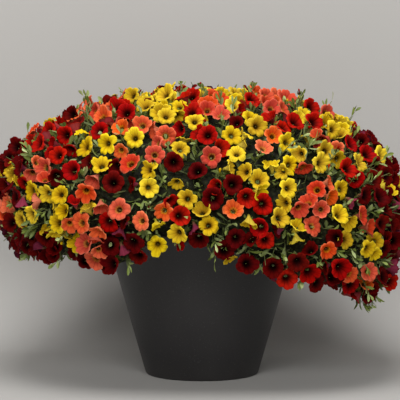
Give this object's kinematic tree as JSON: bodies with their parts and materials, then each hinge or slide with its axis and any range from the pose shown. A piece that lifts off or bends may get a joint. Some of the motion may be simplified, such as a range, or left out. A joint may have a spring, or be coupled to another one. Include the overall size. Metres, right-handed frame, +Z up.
{
  "type": "potted calibrachoa",
  "caption": "Calibrachoa in a plain dark tapered pot: a broad mound of yellow, orange, red and dark red trumpet blooms on leafy sprays.",
  "frame": {"origin": "centre of the flat underside of the pot", "axes": "+Z up along the pot's axis, +X along the plant's longest spread, -Y the side that the picture shows"},
  "size_m": [0.6255, 0.5752, 0.4389],
  "materials": {
    "charcoal_pot": "matte",
    "potting_soil": "matte",
    "yellow_bloom": "matte",
    "orange_bloom": "matte",
    "red_bloom": "matte",
    "dark_red_bloom": "matte"
  },
  "bodies": {
    "root": {"pot": "charcoal_pot", "soil": "potting_soil", "spray_01": "dark_red_bloom", "spray_02": "dark_red_bloom", "spray_03": "yellow_bloom", "spray_04": "red_bloom", "spray_05": "dark_red_bloom", "spray_06": "red_bloom", "spray_07": "red_bloom", "spray_08": "yellow_bloom", "spray_09": "yellow_bloom", "spray_10": "dark_red_bloom", "spray_11": "dark_red_bloom", "spray_12": "yellow_bloom", "spray_13": "orange_bloom", "spray_14": "yellow_bloom", "spray_15": "yellow_bloom", "spray_16": "orange_bloom", "spray_17": "yellow_bloom", "spray_18": "yellow_bloom", "spray_19": "red_bloom", "spray_20": "red_bloom", "spray_21": "red_bloom", "spray_22": "orange_bloom", "spray_23": "orange_bloom", "spray_24": "orange_bloom", "spray_25": "dark_red_bloom", "spray_26": "yellow_bloom", "spray_27": "yellow_bloom", "spray_28": "red_bloom", "spray_29": "orange_bloom", "spray_30": "dark_red_bloom", "spray_31": "orange_bloom", "spray_32": "yellow_bloom", "spray_33": "orange_bloom", "spray_34": "dark_red_bloom", "spray_35": "orange_bloom", "spray_36": "yellow_bloom", "spray_37": "yellow_bloom", "spray_38": "orange_bloom"}
  },
  "joints": []
}
